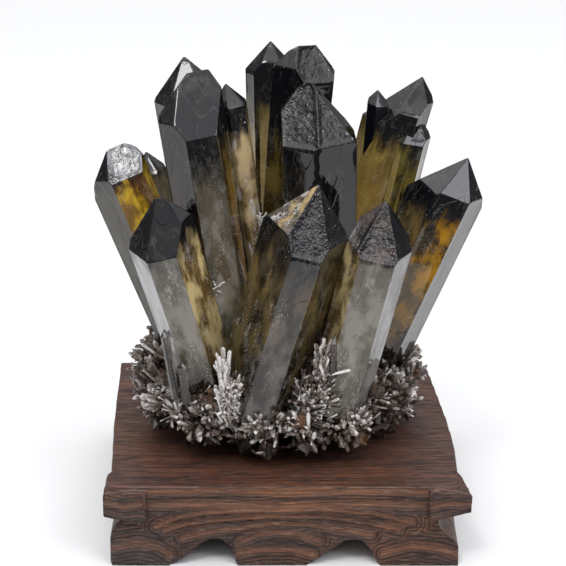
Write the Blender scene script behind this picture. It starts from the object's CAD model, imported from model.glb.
"""Dresses the smoky quartz cluster: crystals, crust of small crystals and carved wooden stand.

Sizes in the tables are millimetres in the stand's own frame: x and y from a point near the middle
of its top, z from the surface that it stands on, with the carved front towards -y.
"""

import itertools
import logging
import math
from dataclasses import dataclass, field
from enum import Enum
from typing import Any, Iterable, Sequence

import bmesh
import bpy
import numpy as np
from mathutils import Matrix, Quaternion, Vector
from mathutils.bvhtree import BVHTree


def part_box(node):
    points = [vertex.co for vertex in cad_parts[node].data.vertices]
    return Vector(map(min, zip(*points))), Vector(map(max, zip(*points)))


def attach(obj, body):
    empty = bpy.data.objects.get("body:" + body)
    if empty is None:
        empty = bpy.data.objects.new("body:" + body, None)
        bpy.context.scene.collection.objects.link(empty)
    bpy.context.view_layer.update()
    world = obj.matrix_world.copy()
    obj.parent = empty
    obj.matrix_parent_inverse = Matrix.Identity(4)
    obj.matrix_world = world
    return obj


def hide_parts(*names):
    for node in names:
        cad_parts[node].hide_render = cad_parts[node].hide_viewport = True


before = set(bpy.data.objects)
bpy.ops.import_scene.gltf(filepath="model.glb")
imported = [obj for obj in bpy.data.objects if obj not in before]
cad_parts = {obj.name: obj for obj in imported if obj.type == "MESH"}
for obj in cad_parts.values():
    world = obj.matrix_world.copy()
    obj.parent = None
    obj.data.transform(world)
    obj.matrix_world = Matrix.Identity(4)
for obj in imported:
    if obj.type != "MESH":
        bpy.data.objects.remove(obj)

LOG = logging.getLogger("quartz_cluster")

# A millimetre in metres, the faces round a crystal, and a distance beyond everything.
MM = 0.001
SIDES = 6
FAR = 1e9

# Quartz: the angle between a point face and its crystal's axis, the refractive index and the
# roughness of clear faces.
POINT_SLOPE = math.radians(38.2)
QUARTZ_IOR = 1.544
CLEAR_ROUGH = 0.02

# Lowest corner of the wooden stand in the stand's own frame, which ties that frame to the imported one.
STAND_LOW = (-64.5, -58.0, 0.0)

# Camera of the photograph, in the stand's own frame, the photograph's size in pixels and the
# camera's sensor in millimetres.
EYE = (-0.7, -668.3, 353.1)
LOOK_DOWN = math.radians(22.0)
FOCAL_PIXELS = 2000.0
PHOTO_PIXELS = 566.0
SENSOR = 36.0

Triple = tuple[float, float, float]


def design_shift() -> Vector:
    """Returns: what is added to a place in the stand's own frame, in metres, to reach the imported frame."""
    low = Vector(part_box("wooden_stand")[0])
    return low - Vector(STAND_LOW) * MM


SHIFT = design_shift()


def place(point: Sequence[float]) -> Vector:
    """Turns a point in millimetres of the stand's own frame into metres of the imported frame."""
    return Vector(point) * MM + SHIFT


def packed(rows: np.ndarray) -> np.ndarray:
    """Turns rows of millimetres in the stand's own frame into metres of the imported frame."""
    return rows * MM + np.array(SHIFT)


def measured(rows: np.ndarray) -> np.ndarray:
    """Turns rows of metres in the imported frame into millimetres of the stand's own frame."""
    return (rows - np.array(SHIFT)) / MM


class Socket:
    """One shader value, wrapped so that sums and products add Math nodes."""

    def __init__(self, graph: "Graph", link: Any) -> None:
        """Keeps the graph and the node socket behind the value."""
        self.graph = graph
        self.link = link

    def _math(self, operation: str, *others: Any) -> "Socket":
        """Adds one Math node.

        Args:
            operation: the Math node's operation.
            others: its further values.

        Returns:
            The result.
        """
        values = dict(enumerate((self.link, *others)))
        return self.graph.node("ShaderNodeMath", {"operation": operation}, values)

    def __add__(self, other: Any) -> "Socket":
        """Sum."""
        return self._math("ADD", other)

    def __sub__(self, other: Any) -> "Socket":
        """Difference."""
        return self._math("SUBTRACT", other)

    def __rsub__(self, other: Any) -> "Socket":
        """Difference, from the right."""
        return self.graph.node("ShaderNodeMath", {"operation": "SUBTRACT"}, {0: other, 1: self.link})

    def __mul__(self, other: Any) -> "Socket":
        """Product."""
        return self._math("MULTIPLY", other)

    __radd__ = __add__
    __rmul__ = __mul__

    def sine(self) -> "Socket":
        """Sine of an angle in radians."""
        return self._math("SINE")

    def clamped(self) -> "Socket":
        """The value kept between 0 and 1."""
        return self._math("MINIMUM", 1.0)._math("MAXIMUM", 0.0)

    def step(self, low: float, high: float) -> "Socket":
        """A smooth rise from 0 at low to 1 at high."""
        values = {"Value": self.link, "From Min": low, "From Max": high}
        return self.graph.node("ShaderNodeMapRange", {"interpolation_type": "SMOOTHSTEP"}, values)


class Graph:
    """Builds one material's nodes."""

    def __init__(self, name: str) -> None:
        """Starts an empty material of that name.

        Args:
            name: the material's name.
        """
        self.material = bpy.data.materials.new(name)
        self.material.use_nodes = True
        self.tree = self.material.node_tree
        self.tree.nodes.clear()

    def node(
        self, kind: str, settings: dict | None = None, values: dict | None = None, out: Any = 0
    ) -> Socket:
        """Adds a node.

        Args:
            kind: the node's type.
            settings: its properties, set first. "stops" holds a ramp's stops as (place, colour) pairs.
            values: what its inputs hold, by name or number: numbers, colours or other values.
            out: which output is wanted, by name or number.

        Returns:
            The wanted output.
        """
        made = self.tree.nodes.new(kind)
        settings = dict(settings or {})
        stops = settings.pop("stops", None)
        for key, value in settings.items():
            setattr(made, key, value)
        if stops:
            self._set_stops(made.color_ramp, stops)
        for key, value in (values or {}).items():
            target = made.inputs[key]
            value = value.link if isinstance(value, Socket) else value
            if isinstance(value, bpy.types.NodeSocket):
                self.tree.links.new(value, target)
            elif isinstance(value, (tuple, list)) and target.type == "RGBA" and len(value) == 3:
                target.default_value = (*value, 1.0)
            else:
                target.default_value = value
        return Socket(self, made.outputs[out])

    @staticmethod
    def _set_stops(ramp: Any, stops: Sequence[tuple[float, Triple]]) -> None:
        """Gives a colour ramp its stops.

        Args:
            ramp: the ramp.
            stops: places from 0 to 1 with their colours.
        """
        while len(ramp.elements) < len(stops):
            ramp.elements.new(1.0)
        for element, (where, colour) in zip(ramp.elements, stops):
            element.position = where
            element.color = (*colour, 1.0)

    def place(self, stretch: Triple = (1.0, 1.0, 1.0)) -> Socket:
        """Returns: object coordinates in metres, stretched."""
        here = self.node("ShaderNodeTexCoord", out="Object")
        return self.node("ShaderNodeMapping", {}, {"Vector": here, "Scale": stretch})

    def attribute(self, name: str) -> Socket:
        """Returns: a number stored on the mesh."""
        return self.node("ShaderNodeAttribute", {"attribute_name": name}, out="Fac")

    def colour(self, name: str) -> Socket:
        """Returns: a colour stored on the mesh."""
        return self.node("ShaderNodeAttribute", {"attribute_name": name}, out="Color")

    def split(self, name: str) -> tuple[Socket, Socket, Socket]:
        """Returns: the three numbers of a colour stored on the mesh."""
        parts = self.tree.nodes.new("ShaderNodeSeparateColor")
        self.tree.links.new(self.colour(name).link, parts.inputs[0])
        return tuple(Socket(self, parts.outputs[index]) for index in range(3))

    def noise(self, where: Socket, scale: float, detail: float = 3.0, rough: float = 0.55) -> Socket:
        """Returns: soft noise from 0 to 1, scale in cycles a metre."""
        values = {"Vector": where, "Scale": scale, "Detail": detail, "Roughness": rough}
        return self.node("ShaderNodeTexNoise", {}, values)

    def cells(self, where: Socket, scale: float) -> Socket:
        """Returns: the distance from the middle of a Voronoi cell, scale in cells a metre."""
        return self.node("ShaderNodeTexVoronoi", {}, {"Vector": where, "Scale": scale}, "Distance")

    def mix(self, share: Any, first: Any, second: Any) -> Socket:
        """Returns: the colour between two, first at 0 and second at 1."""
        settings = {"data_type": "RGBA", "clamp_factor": True}
        return self.node("ShaderNodeMix", settings, {"Factor": share, 6: first, 7: second}, 2)

    def ramp(self, value: Socket, stops: Sequence[tuple[float, Triple]]) -> Socket:
        """Returns: the colour of a ramp at a value."""
        return self.node("ShaderNodeValToRGB", {"stops": stops}, {"Fac": value}, "Color")

    def bump(self, height: Socket, depth: float, strength: float) -> Socket:
        """Returns: a normal bent by a height, depth in metres."""
        return self.node("ShaderNodeBump", {}, {"Height": height, "Distance": depth, "Strength": strength})

    def principled(self, values: dict) -> Socket:
        """Returns: a Principled surface."""
        return self.node("ShaderNodeBsdfPrincipled", {}, values)

    def quartz(self, colour: Socket, rough: Socket, normal: Socket, tint: Triple, share: Socket) -> Socket:
        """Blends milky quartz with clear quartz.

        Args:
            colour: the milky quartz's colour.
            rough: its roughness.
            normal: the normal of both.
            tint: the clear quartz's colour.
            share: how much of the surface is clear.

        Returns:
            The surface.
        """
        both = {"IOR": QUARTZ_IOR, "Normal": normal}
        milky = self.principled({"Base Color": colour, "Roughness": rough, **both})
        both["Transmission Weight"] = 1.0
        clear = self.principled({"Base Color": tint, "Roughness": CLEAR_ROUGH, **both})
        return self.node("ShaderNodeMixShader", {}, {0: share, 1: milky, 2: clear})

    def finish(self, surface: Socket, volume: Socket | None = None) -> bpy.types.Material:
        """Ends the material and returns it.

        Args:
            surface: the shader of its surface.
            volume: the shader of its inside, if it has one.

        Returns:
            The material.
        """
        end = self.tree.nodes.new("ShaderNodeOutputMaterial")
        self.tree.links.new(surface.link, end.inputs["Surface"])
        if volume is not None:
            self.tree.links.new(volume.link, end.inputs["Volume"])
        return self.material


@dataclass(frozen=True)
class Look:
    """Colours of one crystal face under the black zone and at its foot, and of its darker mottles.

    clear is how much of it is clear quartz, etch how rough it is, and fleck how many pale flecks it shows.
    """

    upper: Triple
    lower: Triple
    deep: Triple
    clear: float = 0.4
    etch: float = 0.0
    fleck: float = 0.0


class FaceLook(Enum):
    """Named looks of the crystal faces."""

    NIGHT = Look((0.01, 0.01, 0.012), (0.022, 0.019, 0.016), (0.004, 0.004, 0.005), 0.1)
    SMOKE = Look((0.1, 0.07, 0.048), (0.15, 0.138, 0.13), (0.03, 0.025, 0.02), 0.2, fleck=0.12)
    MIST = Look((0.2, 0.185, 0.165), (0.31, 0.285, 0.22), (0.1, 0.088, 0.062), 0.12, fleck=0.25)
    AMBER = Look((0.95, 0.62, 0.025), (0.3, 0.23, 0.09), (0.16, 0.06, 0.01), 0.3, fleck=0.1)
    EMBER = Look((0.46, 0.22, 0.008), (0.04, 0.03, 0.012), (0.01, 0.007, 0.004), 0.12, fleck=0.2)
    HONEY = Look((0.82, 0.64, 0.3), (0.64, 0.51, 0.26), (0.15, 0.095, 0.032), 0.2, fleck=0.5)
    BROWN = Look((0.22, 0.16, 0.044), (0.08, 0.062, 0.03), (0.012, 0.009, 0.005), 0.45, fleck=0.25)
    OLIVE = Look((0.29, 0.225, 0.05), (0.15, 0.115, 0.05), (0.022, 0.016, 0.006), 0.45, fleck=0.25)
    FROST = Look((0.2, 0.195, 0.195), (0.33, 0.31, 0.29), (0.13, 0.12, 0.11), 0.15)
    STRIP = Look((0.4, 0.4, 0.41), (0.44, 0.425, 0.415), (0.3, 0.295, 0.29), 0.05)
    ETCHED = Look((0.02, 0.013, 0.013), (0.03, 0.022, 0.02), (0.003, 0.003, 0.004), 0.08, etch=1, fleck=0.15)
    MAUVE = Look((0.11, 0.075, 0.06), (0.13, 0.095, 0.08), (0.014, 0.01, 0.012), 0.25, etch=0.8, fleck=0.2)
    SNOW = Look((0.27, 0.274, 0.292), (0.27, 0.274, 0.292), (0.04, 0.038, 0.042), 0.05, etch=0.35, fleck=1)
    GLITTER = Look((0.66, 0.49, 0.26), (0.54, 0.44, 0.29), (0.11, 0.066, 0.022), 0.15, fleck=1)
    SLATE = Look((0.026, 0.024, 0.02), (0.05, 0.046, 0.038), (0.016, 0.014, 0.01), 0.1)
    DUSK = Look((0.15, 0.106, 0.04), (0.07, 0.052, 0.024), (0.014, 0.01, 0.006), 0.15, fleck=0.25)
    GOLD = Look((0.56, 0.4, 0.16), (0.1, 0.07, 0.03), (0.05, 0.03, 0.012), 0.1, etch=0.4, fleck=0.8)


@dataclass(frozen=True)
class QuartzFinish:
    """Smoky quartz: black tips that fade into mottled bodies, over clear absorbing quartz."""

    tip: Triple = (0.006, 0.006, 0.008)
    wisp: Triple = (0.36, 0.33, 0.26)
    root: Triple = (0.020, 0.013, 0.008)
    fleck: Triple = (0.78, 0.75, 0.72)
    glass: Triple = (0.96, 0.94, 0.90)
    smoke: Triple = (0.80, 0.65, 0.20)
    density: float = 150.0
    relief: float = 0.00012

    def material(self) -> bpy.types.Material:
        """Returns: the material, driven by the looks, zones and own places stored on each crystal's mesh."""
        g = Graph("smoky_quartz")
        etch, clear, fleck = g.split("habit")
        dark, share, foot = g.split("zone")
        own = g.node("ShaderNodeAttribute", {"attribute_name": "own"}, out="Vector")

        def stretched(along: float) -> Socket:
            """Returns: places in the crystal's own frame, drawn out along its axis."""
            return g.node("ShaderNodeMapping", {}, {"Vector": own, "Scale": (1.0, 1.0, along)})

        clouds = g.noise(stretched(0.55), 110.0, 4.0, 0.62)
        veils = g.noise(stretched(0.40), 260.0, 5.0, 0.70)
        streaks = g.noise(stretched(0.10), 520.0, 3.0, 0.6)
        smoky = g.noise(stretched(0.60), 190.0, 2.0, 0.5)
        grain = g.noise(own, 1700.0, 3.0, 0.6)

        # The body, with its dark mottles, pale veils and dark foot.
        body = g.mix(share, g.colour("upper"), g.colour("lower"))
        mottle = (clouds * 1.2 + smoky * 0.75 + (streaks - 0.5) * 0.2 + fleck * 0.05).step(0.82, 1.12)
        body = g.mix(mottle, body, g.colour("deep"))
        pale = (smoky * 0.8 + (veils - 0.5) * 0.5).step(0.44, 0.62) * (0.20 + fleck * 0.5)
        body = g.mix(pale * (1.0 - mottle * 0.6), body, self.wisp)
        glow = (veils.step(0.54, 0.74) * (0.15 + grain * 0.5) * (0.3 + fleck)).clamped()
        body = g.mix(glow, body, self.wisp)
        body = g.mix(((foot + (clouds - 0.5) * 0.9) * foot * 1.4).clamped(), body, self.root)

        # Lens-shaped glints and pale spots, then the black tip with its thin light lines.
        lenses = (1.0 - g.cells(stretched(0.30), 270.0).step(0.26, 0.38)) * clouds.step(0.42, 0.50)
        body = g.mix((lenses * (fleck - 0.6) * 2.2).clamped(), body, self.fleck)
        spots = (veils * 0.55 + grain * 0.55).step(0.59, 0.66) * clouds.step(0.42, 0.56)
        body = g.mix(spots * fleck, body, self.fleck)
        night = (dark + (clouds - 0.5) * 0.7 + (streaks - 0.5) * 0.25).step(0.36, 0.72)
        body = g.mix(night * (1.0 - (fleck * etch * 2.4).clamped()), body, self.tip)
        ridge = (veils - 0.5) * (veils - 0.5)
        hair = (1.0 - ridge.step(0.0, 0.0005)) * clouds.step(0.45, 0.6) * (1.0 - etch) * 0.14
        body = g.mix(hair * night, body, self.wisp)

        # Sparks everywhere and dark holes in etched faces.
        sparks = (1.0 - g.cells(own, 430.0).step(0.07, 0.13)) * veils.step(0.50, 0.58)
        body = g.mix((sparks * (fleck * 1.6 + etch * 0.5)).clamped(), body, self.fleck)
        holes = (1.0 - g.cells(own, 330.0).step(0.16, 0.24)) * clouds.step(0.44, 0.54) * etch * fleck * 3.0
        body = g.mix(holes.clamped(), body, self.tip)

        # Growth steps, streaks and etched pits.
        rough = (0.04 + etch * (0.10 + grain * 0.22) + (1.0 - night) * (veils - 0.4) * 0.15).clamped()
        steps = g.noise(stretched(0.5), 85.0, 1.0, 0.5).step(0.50, 0.512)
        pits = g.cells(own, 1150.0) + g.cells(own, 520.0)
        height = steps * 0.45 + streaks * 0.10 + (grain * 0.8 + pits * 1.6) * etch
        normal = g.bump(height, self.relief, 0.8)
        see = (clear * (1.0 - night) * (0.35 + clouds * 1.3) * (1.0 - spots * fleck)).clamped()
        inside = {"Color": self.smoke, "Density": self.density}
        volume = g.node("ShaderNodeVolumeAbsorption", {}, inside, "Volume")
        return g.finish(g.quartz(body, rough, normal, self.glass, see), volume)


@dataclass(frozen=True)
class CrustFinish:
    """Glassy grey-brown small quartz crystals: dark feet, smoky bodies and pale glinting ends."""

    root: Triple = (0.010, 0.007, 0.006)
    smoke: Triple = (0.060, 0.042, 0.032)
    middle: Triple = (0.170, 0.128, 0.104)
    light: Triple = (0.420, 0.350, 0.310)
    white: Triple = (0.900, 0.870, 0.850)
    stain: Triple = (0.330, 0.150, 0.045)
    glass: Triple = (0.90, 0.84, 0.78)
    relief: float = 0.00008

    def material(self, name: str, toned: bool) -> bpy.types.Material:
        """Builds the material.

        Args:
            name: its name.
            toned: whether the mesh stores a tone for each small crystal, and how far along it a place is.

        Returns:
            The material.
        """
        g = Graph(name)
        here = g.place()
        clouds = g.noise(here, 95.0, 4.0, 0.6)
        grains = g.noise(here, 900.0, 3.0, 0.6)
        tone = g.attribute("tone") if toned else g.noise(here, 420.0, 4.0, 0.7) * 0.9
        along = g.attribute("along") if toned else tone * 0.3
        height = g.node("ShaderNodeSeparateXYZ", {}, {0: here}, "Z").step(0.030, 0.044)
        value = tone * 0.68 + along * 0.36 + (clouds - 0.5) * 0.60 + (grains - 0.5) * 0.90 - 0.03
        value = (value * (0.35 + height * 0.65)).clamped()
        colours = (self.root, self.smoke, self.middle, self.light, self.white)
        colour = g.ramp(value, tuple(zip((0.10, 0.30, 0.50, 0.70, 0.88), colours)))
        patch = g.noise(here, 60.0, 2.0).step(0.60, 0.70)
        colour = g.mix(patch * 0.45 * (1.0 - value), colour, self.stain)
        normal = g.bump(grains, self.relief, 0.5)
        share = (0.24 + (clouds - 0.5) * 0.8 - (tone - 0.5) * 0.3).clamped() * height
        share = share * (1.0 if toned else 0.2)
        return g.finish(g.quartz(colour, 0.03 + grains * 0.10, normal, self.glass, share))


@dataclass(frozen=True)
class WoodFinish:
    """Dark red-brown wood: long fine pores, grey and orange streaks, worn edges and a satin polish."""

    dark: Triple = (0.028, 0.014, 0.011)
    red: Triple = (0.150, 0.060, 0.038)
    orange: Triple = (0.300, 0.115, 0.042)
    grey: Triple = (0.066, 0.054, 0.054)
    pore: Triple = (0.012, 0.007, 0.006)
    dust: Triple = (0.36, 0.24, 0.18)
    relief: float = 0.00030
    polish: float = 0.10

    def material(self) -> bpy.types.Material:
        """Returns: the material, with the grain along X and carved lines that follow the ridges."""
        g = Graph("carved_wood")
        figure = g.noise(g.place((0.08, 1.0, 1.0)), 170.0, 5.0, 0.62)
        broad = g.noise(g.place((0.30, 1.0, 1.5)), 40.0, 4.0, 0.6)
        fine = g.noise(g.place((0.035, 1.0, 1.0)), 1400.0, 3.0, 0.6)
        carved = g.attribute("carved")
        ridge = g.attribute("ridge")
        flow = g.attribute("flow") + (broad - 0.5) * 3.0
        lines = (flow * 4.6).sine() * 0.5 + 0.5
        hairs = (flow * 11.0 + figure * 6.0).sine() * 0.5 + 0.5
        base = g.mix((figure * 0.45 + (fine - 0.5) * 1.0 + 0.15).step(0.12, 0.60), self.dark, self.red)
        glow = broad.step(0.50, 0.66) * (0.25 + figure) * (0.30 + carved * 0.70)
        base = g.mix(glow.clamped(), base, self.orange)
        ash = (1.0 - broad).step(0.50, 0.70) * carved * 0.75
        base = g.mix(ash, base, self.grey)
        groove = ((1.0 - lines).step(0.45, 0.95) * 0.75 + (1.0 - hairs).step(0.5, 1.0) * 0.45) * carved
        base = g.mix((groove * (1.0 - ridge * 0.5)).clamped(), base, self.dark)
        pores = g.noise(g.place((0.06, 1.0, 1.0)), 2300.0, 2.0, 0.5).step(0.54, 0.66)
        dashes = g.noise(g.place((0.10, 1.0, 1.0)), 1250.0, 2.0, 0.5).step(0.58, 0.70)
        pits = (pores + dashes * 0.8).clamped()
        base = g.mix(pits * 0.85, base, self.pore)
        flecks = g.noise(g.place((0.12, 1.0, 1.0)), 1700.0, 2.0, 0.6).step(0.58, 0.72)
        base = g.mix(flecks * (0.30 + ridge * 0.25), base, self.dust)
        base = g.mix((ridge * figure * 0.7).clamped(), base, self.orange)
        height = figure * 0.4 - pits * 0.7 - groove * 1.5 + lines * carved * 0.6
        rough = (0.42 + pits * 0.25 - ridge * 0.12 + (figure - 0.5) * 0.2).clamped()
        surface = g.principled(
            {"Base Color": base, "Roughness": rough, "Normal": g.bump(height, self.relief, 0.9),
             "Coat Weight": self.polish, "Coat Roughness": 0.28}
        )
        return g.finish(surface)


# One letter for each look, in FaceLook's order, for the table of crystals.
N, S, M, A, R, H, B, O, F, T, E, V, W, G, L, D, Y = tuple(FaceLook)


@dataclass(frozen=True)
class Crystal:
    """One quartz crystal: a six-sided prism under a six-faced point, sizes in millimetres.

    root and tip are the ends of its long axis. sides are the distances from that axis to the
    prism faces at the shoulder, the first one towards -y and the rest anticlockwise seen from
    the tip. spin turns them, in degrees. rises tell how far past the tip each point face's plane
    meets the axis. taper is the width at the root over the shoulder's. walls and points are the
    looks of the prism and point faces, night is how far the black zone reaches from the tip, and
    foot how dark the crystal turns where it enters the crust.
    """

    root: Triple
    tip: Triple
    sides: tuple
    spin: float = 0.0
    rises: tuple = (0.0, 0.0, 0.0, 0.0, 0.0, 0.0)
    taper: float = 0.9
    walls: tuple = (B, B, B, B, B, B)
    points: tuple = (N, N, N, N, N, N)
    night: float = 0.30
    foot: float = 0.35

    def axes(self) -> tuple[Vector, Vector, Vector]:
        """Returns: the unit axis and the two directions across it that the faces are counted in."""
        axis = (Vector(self.tip) - Vector(self.root)).normalized()
        front = Vector((0.0, -1.0, 0.0))
        front = (front - axis * front.dot(axis)).normalized()
        return axis, front, axis.cross(front)

    def planes(self) -> list[tuple[Vector, Vector, tuple]]:
        """Returns: point, outward normal and look of the root and of every face."""
        axis, front, side = self.axes()
        root, tip = Vector(self.root), Vector(self.tip)
        length = (tip - root).length
        planes = [(root, -axis, N.value)]
        for index in range(SIDES):
            angle = math.radians(self.spin + 60.0 * index)
            outward = front * math.cos(angle) + side * math.sin(angle)
            wide = self.sides[index]
            shoulder = length - wide / math.tan(POINT_SLOPE)
            lean = math.atan(wide * (1.0 - self.taper) / shoulder)
            normal = outward * math.cos(lean) - axis * math.sin(lean)
            planes.append((root + axis * shoulder + outward * wide, normal, self.walls[index].value))
            slope = outward * math.cos(POINT_SLOPE) + axis * math.sin(POINT_SLOPE)
            planes.append((tip + axis * self.rises[index], slope, self.points[index].value))
        return planes


CRYSTALS: dict[str, tuple[Crystal, ...]] = {
    "crystal_left": (
        Crystal(
            root=(-31.5, -4, 59.5), tip=(-58.9, -4, 136.2), sides=(8, 8, 5, 10, 14, 10), spin=15,
            rises=(0, 5, 3.5, 0, 4, 4), taper=0.88,
            walls=(A, A, B, B, O, L), points=(W, W, N, N, N, M), night=0.15,
        ),
    ),
    "crystal_left_back": (
        Crystal(
            root=(-33.6, 8, 56), tip=(-49.7, 12, 129.1), sides=(6, 5.5, 4.5, 6, 4.5, 5.5),
            walls=(F, M, B, B, B, M), points=(M, M, N, N, N, N), night=0.12,
        ),
    ),
    "crystal_front_left": (
        Crystal(
            root=(-24.8, -21.2, 52.2), tip=(-42.6, -36, 128.4), sides=(13, 8.5, 8.2, 12, 11.8, 13.4),
            rises=(0, 3, 1.5, 0, 1.5, 1), taper=0.86,
            walls=(M, H, B, B, O, T), points=(N, N, N, N, N, L), night=0.24, foot=1,
        ),
    ),
    "crystal_tall_left": (
        Crystal(
            root=(-14.4, -10, 52), tip=(-30, -10, 165), sides=(15, 8, 3.5, 11, 12.5, 16.4), spin=15,
            rises=(0, 9, 4, 0, 4, 7), taper=0.9,
            walls=(M, B, B, B, O, N), points=(N, V, N, N, N, N), night=0.3,
        ),
        Crystal(
            root=(-18.9, 2, 57.8), tip=(-33.6, 6, 164.4), sides=(10, 6.7, 10.2, 12, 11.5, 12.9),
            rises=(1.5, 1, 0, 1.5, 3, 3.5), taper=0.92,
            walls=(O, G, B, B, B, D), points=(N, N, N, N, N, N), night=0.24,
        ),
        Crystal(
            root=(-6.4, -2, 53), tip=(-20.6, 0, 157.8), sides=(6, 5.8, 6.9, 6, 6.4, 5.5), spin=28,
            taper=0.94, walls=(G, H, B, B, B, G), points=(N, N, N, N, N, N), night=0.2,
        ),
    ),
    "crystal_back_left": (
        Crystal(
            root=(-4, 28, 50.7), tip=(-5.2, 36, 163.3), sides=(5.6, 8.1, 8.1, 8.1, 8.1, 8.1), taper=0.95,
            walls=(B, B, B, B, B, B), points=(N, N, N, N, N, N), night=0.26,
        ),
    ),
    "crystal_back_centre": (
        Crystal(
            root=(-2, 22, 50.6), tip=(7.1, 24.1, 164.7), sides=(9.1, 11.4, 10.2, 11.2, 10.7, 7.9), spin=28,
            rises=(0, 5, 5, 0, 5, 3), taper=0.92,
            walls=(B, N, B, B, B, O), points=(E, E, N, N, N, N), night=0.34,
        ),
    ),
    "crystal_tall_centre": (
        Crystal(
            root=(9.1, 0, 48.4), tip=(7.5, 0, 158.3), sides=(15.2, 17.7, 16.7, 12.1, 6.5, 9.1), spin=-28,
            rises=(0, 4, 2, 0, 0, 2), taper=0.94,
            walls=(N, L, N, B, B, B), points=(E, E, N, N, N, N), night=0.55,
        ),
    ),
    "crystal_front_centre": (
        Crystal(
            root=(-11.3, -30, 50), tip=(11.3, -38, 134), sides=(16.3, 13.1, 15.3, 15.7, 13.5, 12), spin=3,
            taper=0.95, walls=(S, D, B, B, B, D), points=(E, E, N, N, N, Y), night=0.38,
        ),
    ),
    "crystal_front_right": (
        Crystal(
            root=(17.4, -24, 47.9), tip=(34.4, -32, 126.2), sides=(13.7, 12.3, 9.3, 8.3, 6.5, 12), spin=1,
            taper=0.93, walls=(M, F, B, B, B, H), points=(V, N, N, N, N, V), night=0.22,
        ),
    ),
    "crystal_right": (
        Crystal(
            root=(30.4, -6, 51.4), tip=(63.7, -8, 133.4), sides=(10, 9.5, 12.9, 12, 14.8, 10.8), taper=0.93,
            walls=(R, L, L, B, B, D), points=(S, N, N, N, N, L), night=0.3,
        ),
    ),
    "crystal_back_right": (
        Crystal(
            root=(21.4, 17.9, 49.7), tip=(49.2, 22, 153.9), sides=(10.2, 6.3, 4.6, 10.2, 14.8, 14.8),
            taper=0.88, walls=(O, B, B, B, B, O), points=(N, N, N, N, S, M), night=0.26,
        ),
        Crystal(
            root=(27.7, 13.9, 49.7), tip=(47.4, 17.9, 141.9), sides=(8.1, 6.5, 5.1, 8.1, 5.1, 8), spin=9,
            taper=0.92, walls=(O, M, B, B, B, O), points=(O, N, N, N, N, O), night=0.16,
        ),
        Crystal(
            root=(29.8, 17.9, 108.4), tip=(33, 15.9, 150.8), sides=(4.1, 4.5, 2.9, 4.1, 3.1, 3.7), spin=22,
            taper=0.95, walls=(N, N, N, N, N, N), night=0.8,
        ),
    ),
}


# Volume between three unit normals under which their planes don't meet.
PARALLEL = 1e-6


def meeting_point(planes: Sequence[tuple]) -> Vector | None:
    """Finds the corner where three planes meet.

    Args:
        planes: a point, an outward normal and a look for each of the three.

    Returns:
        The corner, or None where the planes don't meet in one point.
    """
    (first, normal_1, _), (second, normal_2, _), (third, normal_3, _) = planes
    spread = normal_1.dot(normal_2.cross(normal_3))
    if abs(spread) < PARALLEL:
        return None
    corner = normal_2.cross(normal_3) * first.dot(normal_1)
    corner += normal_3.cross(normal_1) * second.dot(normal_2)
    corner += normal_1.cross(normal_2) * third.dot(normal_3)
    return corner / spread


def new_piece(name: str, bm: bmesh.types.BMesh) -> bpy.types.Object:
    """Makes an object from a bmesh, which is freed.

    Args:
        name: the name of the object and its mesh.
        bm: the shape.

    Returns:
        The object, linked to the scene.
    """
    mesh = bpy.data.meshes.new(name)
    bm.to_mesh(mesh)
    bm.free()
    piece = bpy.data.objects.new(name, mesh)
    bpy.context.scene.collection.objects.link(piece)
    return piece


def plain_mesh(piece: bpy.types.Object) -> None:
    """Turns what an object's modifiers give into its own mesh and takes them off.

    Args:
        piece: the object.
    """
    graph = bpy.context.evaluated_depsgraph_get()
    made = bpy.data.meshes.new_from_object(piece.evaluated_get(graph))
    piece.modifiers.clear()
    piece.data = made


def dress(piece: bpy.types.Object, material: bpy.types.Material) -> None:
    """Gives a piece one material and no other."""
    piece.data.materials.clear()
    piece.data.materials.append(material)


def smooth(mesh: bpy.types.Mesh) -> None:
    """Shades every face of a mesh smooth."""
    mesh.polygons.foreach_set("use_smooth", [True] * len(mesh.polygons))


def rows_of(items: Any, name: str) -> np.ndarray:
    """Returns: a property with three numbers of every vertex or face, one row each."""
    values = np.empty(len(items) * 3)
    items.foreach_get(name, values)
    return values.reshape(-1, 3)


def move_to(mesh: bpy.types.Mesh, places: np.ndarray) -> None:
    """Puts the vertices of a mesh at new places, one row each."""
    mesh.vertices.foreach_set("co", places.ravel())


def store(
    mesh: bpy.types.Mesh, name: str, values: np.ndarray, domain: str = "POINT", kind: str = "FLOAT"
) -> None:
    """Stores values on a mesh.

    Args:
        mesh: the mesh.
        name: the name of the attribute.
        values: a number or a row of three for each vertex or face.
        domain: POINT for vertices or FACE for faces.
        kind: FLOAT, FLOAT_VECTOR or FLOAT_COLOR.
    """
    if kind == "FLOAT_COLOR":
        values = np.concatenate([values, np.ones((len(values), 1))], axis=1)
    key = {"FLOAT": "value", "FLOAT_VECTOR": "vector", "FLOAT_COLOR": "color"}[kind]
    layer = mesh.attributes.new(name, kind, domain)
    layer.data.foreach_set(key, np.ascontiguousarray(values, dtype=np.float32).ravel())


def eased(share: np.ndarray) -> np.ndarray:
    """Returns: shares from 0 to 1, eased at both ends."""
    return share * share * (3.0 - 2.0 * share)


# Large primes that scatter whole numbers.
HASH_PRIMES = (73856093, 19349663, 83492791)
SEED_PRIME = 15485863
MIX_PRIME = 1274126177


def lattice(whole: np.ndarray, seed: int) -> np.ndarray:
    """Draws a fixed random number for each point of a lattice.

    Args:
        whole: rows of three whole numbers.
        seed: which of many lattices it is.

    Returns:
        A number from 0 to 1 for each row.
    """
    mixed = whole @ np.array(HASH_PRIMES) + seed * SEED_PRIME
    mixed = (mixed ^ (mixed >> 13)) * MIX_PRIME
    mixed = mixed ^ (mixed >> 16)
    return (mixed & 0xFFFF) / 0xFFFF


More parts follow.
